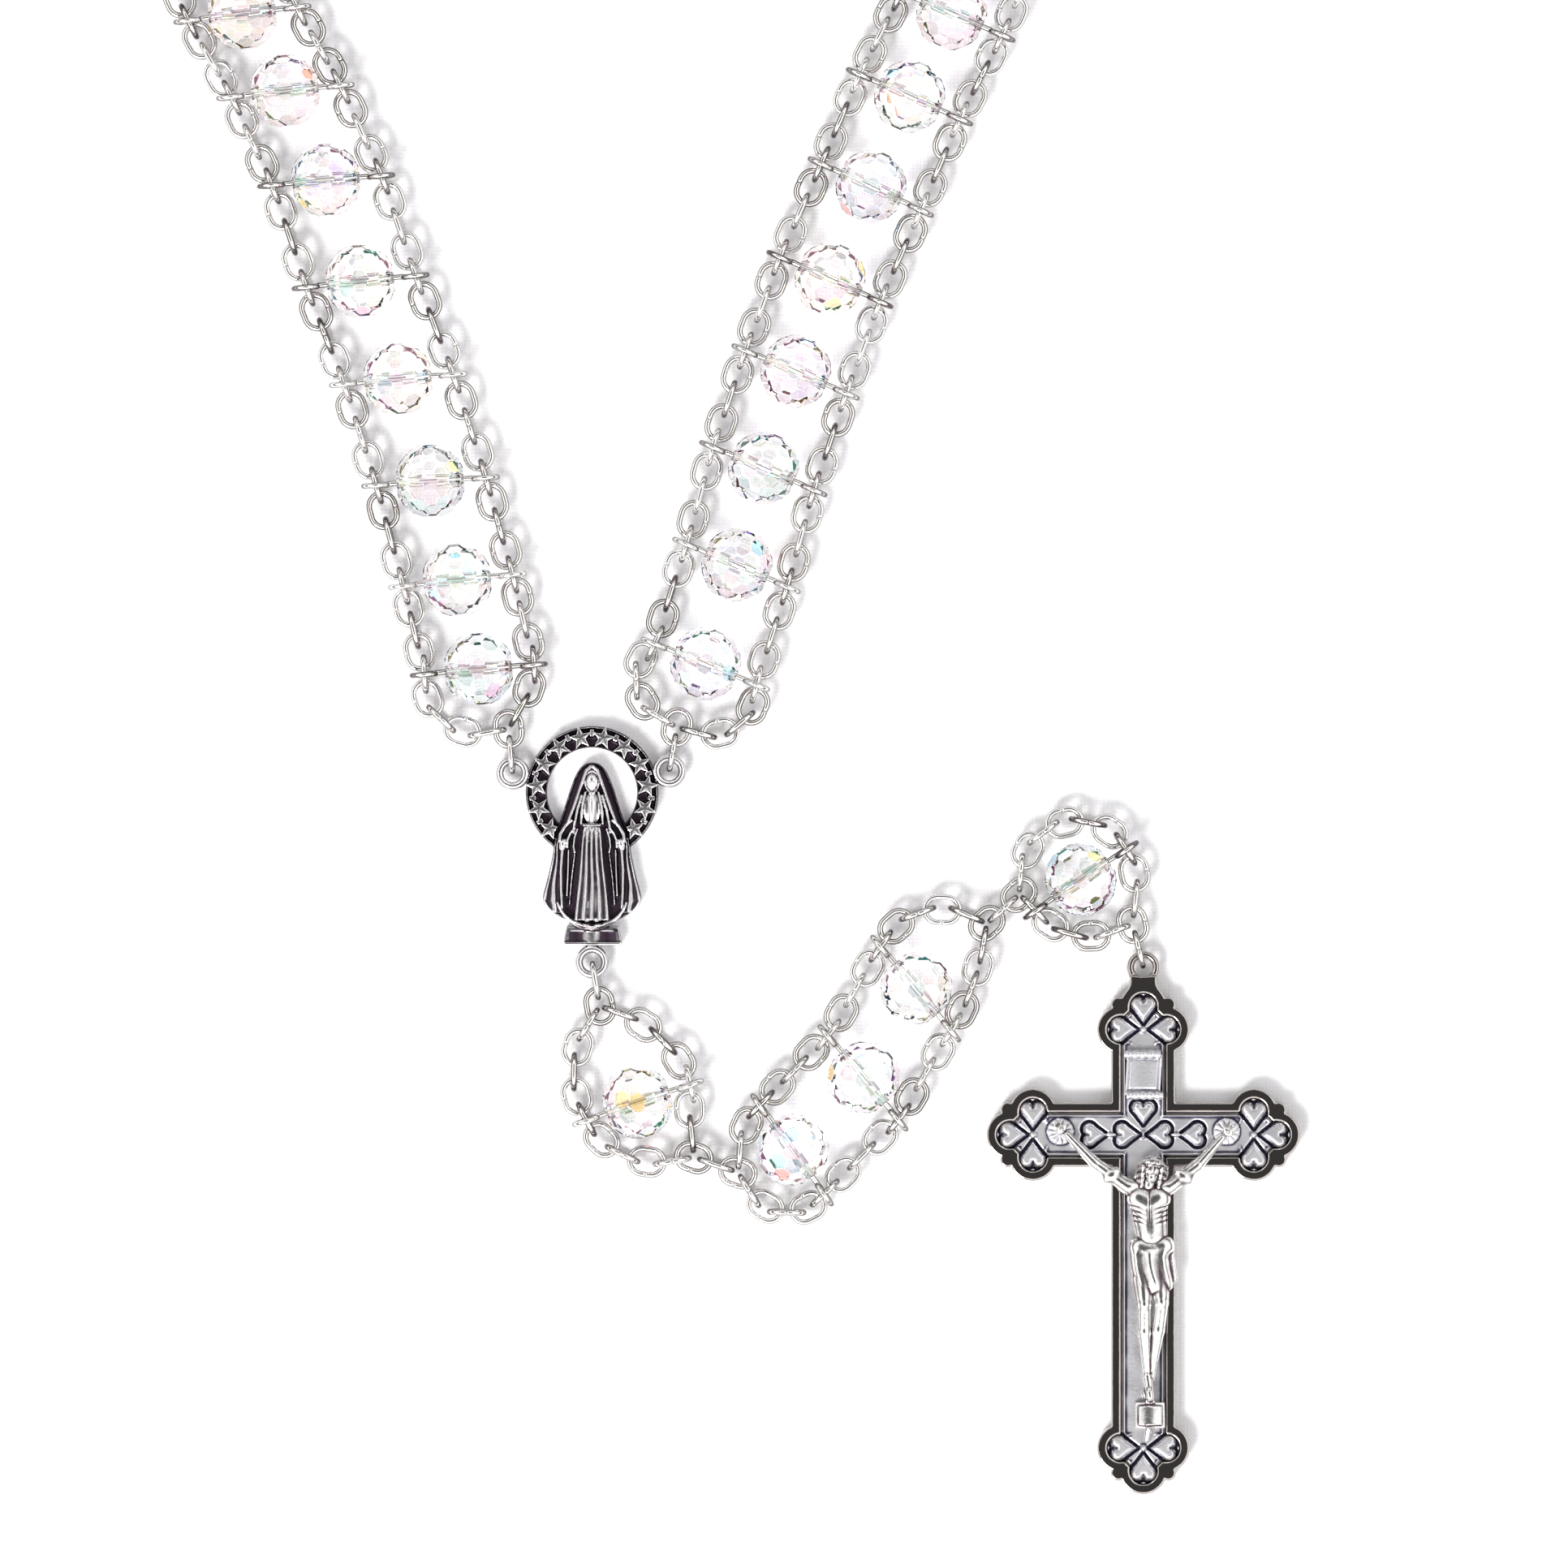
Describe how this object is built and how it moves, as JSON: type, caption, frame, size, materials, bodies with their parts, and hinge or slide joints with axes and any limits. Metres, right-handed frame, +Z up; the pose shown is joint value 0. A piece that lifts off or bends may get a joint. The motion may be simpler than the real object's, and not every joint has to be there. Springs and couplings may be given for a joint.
{
  "type": "rosary",
  "caption": "Ladder rosary of faceted glass beads between two metal cable chains, with a pierced medal and a budded crucifix.",
  "frame": {"origin": "back of the centrepiece medal, in the middle of its ring of stars, on the surface the rosary lies on", "axes": "+Y up the loop from the medal, -Y towards the pendant, +X towards the crucifix, +Z up from the surface"},
  "size_m": [0.1446, 0.301, 0.0067],
  "materials": {
    "glass": "clear faceted glass with an iridescent coating",
    "pins": "bright round wire",
    "chain": "bright plated round wire",
    "antique_silver": "antique silver casting, dark in the recesses",
    "polished_border": "polished casting",
    "bright_casting": "worn bright casting, dark in the recesses"
  },
  "bodies": {
    "medal": {"centrepiece": "antique_silver"},
    "left_neck": {"left_neck_link": "chain"},
    "decade_1": {"decade_1_beads": "glass", "decade_1_pins": "pins", "decade_1_chain_outer": "chain", "decade_1_chain_inner": "chain", "left_fork_links": "chain"},
    "single_1": {"single_links_1": "chain", "single_pin_1": "pins"},
    "single_1_bead": {"single_bead_1": "glass"},
    "decade_2": {"decade_2_beads": "glass", "decade_2_pins": "pins", "decade_2_chain_outer": "chain", "decade_2_chain_inner": "chain"},
    "single_2": {"single_links_2": "chain", "single_pin_2": "pins"},
    "single_2_bead": {"single_bead_2": "glass"},
    "decade_3": {"decade_3_beads": "glass", "decade_3_pins": "pins", "decade_3_chain_outer": "chain", "decade_3_chain_inner": "chain"},
    "right_neck": {"right_neck_link": "chain"},
    "decade_5": {"decade_5_beads": "glass", "decade_5_pins": "pins", "decade_5_chain_outer": "chain", "decade_5_chain_inner": "chain", "right_fork_links": "chain"},
    "single_4": {"single_links_4": "chain", "single_pin_4": "pins"},
    "single_4_bead": {"single_bead_4": "glass"},
    "decade_4": {"decade_4_beads": "glass", "decade_4_pins": "pins", "decade_4_chain_outer": "chain", "decade_4_chain_inner": "chain"},
    "single_3": {"single_links_3": "chain", "single_pin_3": "pins"},
    "single_3_bead": {"single_bead_3": "glass"},
    "pendant_neck": {"pendant_neck_link": "chain"},
    "pendant_1": {"pendant_links_1": "chain", "pendant_pin_1": "pins"},
    "pendant_1_bead": {"pendant_bead_1": "glass"},
    "join_1": {"join_link_1": "chain"},
    "pendant_2": {"pendant_links_2": "chain", "pendant_pin_2": "pins"},
    "pendant_2_bead": {"pendant_bead_2": "glass"},
    "pendant_3": {"pendant_links_3": "chain", "pendant_pin_3": "pins"},
    "pendant_3_bead": {"pendant_bead_3": "glass"},
    "pendant_4": {"pendant_links_4": "chain", "pendant_pin_4": "pins"},
    "pendant_4_bead": {"pendant_bead_4": "glass"},
    "join_2": {"join_link_2": "chain"},
    "pendant_5": {"pendant_links_5": "chain", "pendant_pin_5": "pins"},
    "pendant_5_bead": {"pendant_bead_5": "glass"},
    "crucifix_link": {"crucifix_link": "chain"},
    "crucifix": {"cross_frame": "polished_border", "cross_inlay": "antique_silver", "title_scroll": "bright_casting", "corpus": "bright_casting"}
  },
  "joints": [
    {"name": "left_neck_fold", "type": "hinge", "parent": "medal", "child": "left_neck", "pos_m": [-0.00751, 0.00299, 0.00145], "axis": [0.9962, 0.0872, 0], "range_deg": [-60, 60]},
    {"name": "decade_1_yaw", "type": "hinge", "parent": "left_neck", "child": "decade_1", "pos_m": [-0.00769, 0.00514, 0.00165], "axis": [0, 0, 1], "range_deg": [0, 20]},
    {"name": "single_1_fold", "type": "hinge", "parent": "decade_1", "child": "single_1", "pos_m": [-0.04309, 0.09745, 0.00165], "axis": [-0.9781, -0.2081, 0], "range_deg": [-60, 60]},
    {"name": "single_1_bead_spin", "type": "hinge", "parent": "single_1", "child": "single_1_bead", "pos_m": [-0.04516, 0.10232, 0.00333], "axis": [0.9744, 0.225, 0], "continuous": true},
    {"name": "decade_2_fold", "type": "hinge", "parent": "single_1", "child": "decade_2", "pos_m": [-0.04848, 0.11015, 0.00165], "axis": [0.9703, 0.242, 0], "range_deg": [-60, 60]},
    {"name": "single_2_fold", "type": "hinge", "parent": "decade_2", "child": "single_2", "pos_m": [-0.05254, 0.20173, 0.00165], "axis": [-0.8238, 0.5669, 0], "range_deg": [-60, 60]},
    {"name": "single_2_bead_spin", "type": "hinge", "parent": "single_2", "child": "single_2_bead", "pos_m": [-0.04955, 0.20609, 0.00333], "axis": [0.76, -0.6499, 0], "continuous": true},
    {"name": "decade_3_fold", "type": "hinge", "parent": "single_2", "child": "decade_3", "pos_m": [-0.04339, 0.21193, 0.00165], "axis": [0.6879, -0.7258, 0], "range_deg": [-60, 60]},
    {"name": "right_neck_fold", "type": "hinge", "parent": "medal", "child": "right_neck", "pos_m": [0.00741, 0.00318, 0.00145], "axis": [-0.9848, 0.1736, 0], "range_deg": [-60, 60]},
    {"name": "decade_5_yaw", "type": "hinge", "parent": "right_neck", "child": "decade_5", "pos_m": [0.00778, 0.0053, 0.00165], "axis": [0, 0, 1], "range_deg": [-20, 0]},
    {"name": "single_4_fold", "type": "hinge", "parent": "decade_5", "child": "single_4", "pos_m": [0.04409, 0.09745, 0.00165], "axis": [0.9205, -0.3907, 0], "range_deg": [-60, 60]},
    {"name": "single_4_bead_spin", "type": "hinge", "parent": "single_4", "child": "single_4_bead", "pos_m": [0.04616, 0.10232, 0.00333], "axis": [-0.9205, 0.3907, 0], "continuous": true},
    {"name": "decade_4_fold", "type": "hinge", "parent": "single_4", "child": "decade_4", "pos_m": [0.04948, 0.11015, 0.00165], "axis": [-0.9205, 0.3907, 0], "range_deg": [-60, 60]},
    {"name": "single_3_fold", "type": "hinge", "parent": "decade_4", "child": "single_3", "pos_m": [0.05354, 0.20173, 0.00165], "axis": [0.8238, 0.5669, 0], "range_deg": [-60, 60]},
    {"name": "single_3_bead_spin", "type": "hinge", "parent": "single_3", "child": "single_3_bead", "pos_m": [0.05055, 0.20609, 0.00333], "axis": [-0.76, -0.6499, 0], "continuous": true},
    {"name": "pendant_neck_fold", "type": "hinge", "parent": "medal", "child": "pendant_neck", "pos_m": [0.00021, -0.01698, 0.00145], "axis": [-0.9848, -0.1736, 0], "range_deg": [-60, 60]},
    {"name": "pendant_1_yaw", "type": "hinge", "parent": "pendant_neck", "child": "pendant_1", "pos_m": [0.00058, -0.0191, 0.00165], "axis": [0, 0, 1], "range_deg": [-25, 25]},
    {"name": "pendant_1_bead_spin", "type": "hinge", "parent": "pendant_1", "child": "pendant_1_bead", "pos_m": [0.0043, -0.0288, 0.00333], "axis": [0.9455, 0.3256, 0], "continuous": true},
    {"name": "join_1_fold", "type": "hinge", "parent": "pendant_1", "child": "join_1", "pos_m": [0.01101, -0.03452, 0.00165], "axis": [0.3231, 0.9464, 0], "range_deg": [-45, 45]},
    {"name": "pendant_2_yaw", "type": "hinge", "parent": "join_1", "child": "pendant_2", "pos_m": [0.01306, -0.03522, 0.00165], "axis": [0, 0, 1], "range_deg": [-15, 15]},
    {"name": "pendant_2_bead_spin", "type": "hinge", "parent": "pendant_2", "child": "pendant_2_bead", "pos_m": [0.0187, -0.0332, 0.00333], "axis": [0.5878, -0.809, 0], "continuous": true},
    {"name": "pendant_3_fold", "type": "hinge", "parent": "pendant_2", "child": "pendant_3", "pos_m": [0.02147, -0.03038, 0.00165], "axis": [0.602, -0.7985, 0], "range_deg": [-35, 35]},
    {"name": "pendant_3_bead_spin", "type": "hinge", "parent": "pendant_3", "child": "pendant_3_bead", "pos_m": [0.0253, -0.0265, 0.00333], "axis": [0.6428, -0.766, 0], "continuous": true},
    {"name": "pendant_4_fold", "type": "hinge", "parent": "pendant_3", "child": "pendant_4", "pos_m": [0.02734, -0.02305, 0.00165], "axis": [-0.6428, 0.766, 0], "range_deg": [-35, 35]},
    {"name": "pendant_4_bead_spin", "type": "hinge", "parent": "pendant_4", "child": "pendant_4_bead", "pos_m": [0.0302, -0.0182, 0.00333], "axis": [0.6428, -0.766, 0], "continuous": true},
    {"name": "join_2_fold", "type": "hinge", "parent": "pendant_4", "child": "join_2", "pos_m": [0.03799, -0.01113, 0.00165], "axis": [0.669, -0.7433, 0], "range_deg": [-45, 45]},
    {"name": "pendant_5_yaw", "type": "hinge", "parent": "join_2", "child": "pendant_5", "pos_m": [0.03949, -0.00978, 0.00165], "axis": [0, 0, 1], "range_deg": [-10, 10]},
    {"name": "pendant_5_bead_spin", "type": "hinge", "parent": "pendant_5", "child": "pendant_5_bead", "pos_m": [0.0455, -0.0081, 0.00333], "axis": [0.829, 0.5592, 0], "continuous": true},
    {"name": "crucifix_yaw", "type": "hinge", "parent": "pendant_5", "child": "crucifix_link", "pos_m": [0.05059, -0.01305, 0.00165], "axis": [0, 0, 1], "range_deg": [-10, 30]},
    {"name": "crucifix_fold", "type": "hinge", "parent": "crucifix_link", "child": "crucifix", "pos_m": [0.05111, -0.01514, 0.00145], "axis": [0.9703, 0.2419, 0], "range_deg": [-60, 60]}
  ]
}
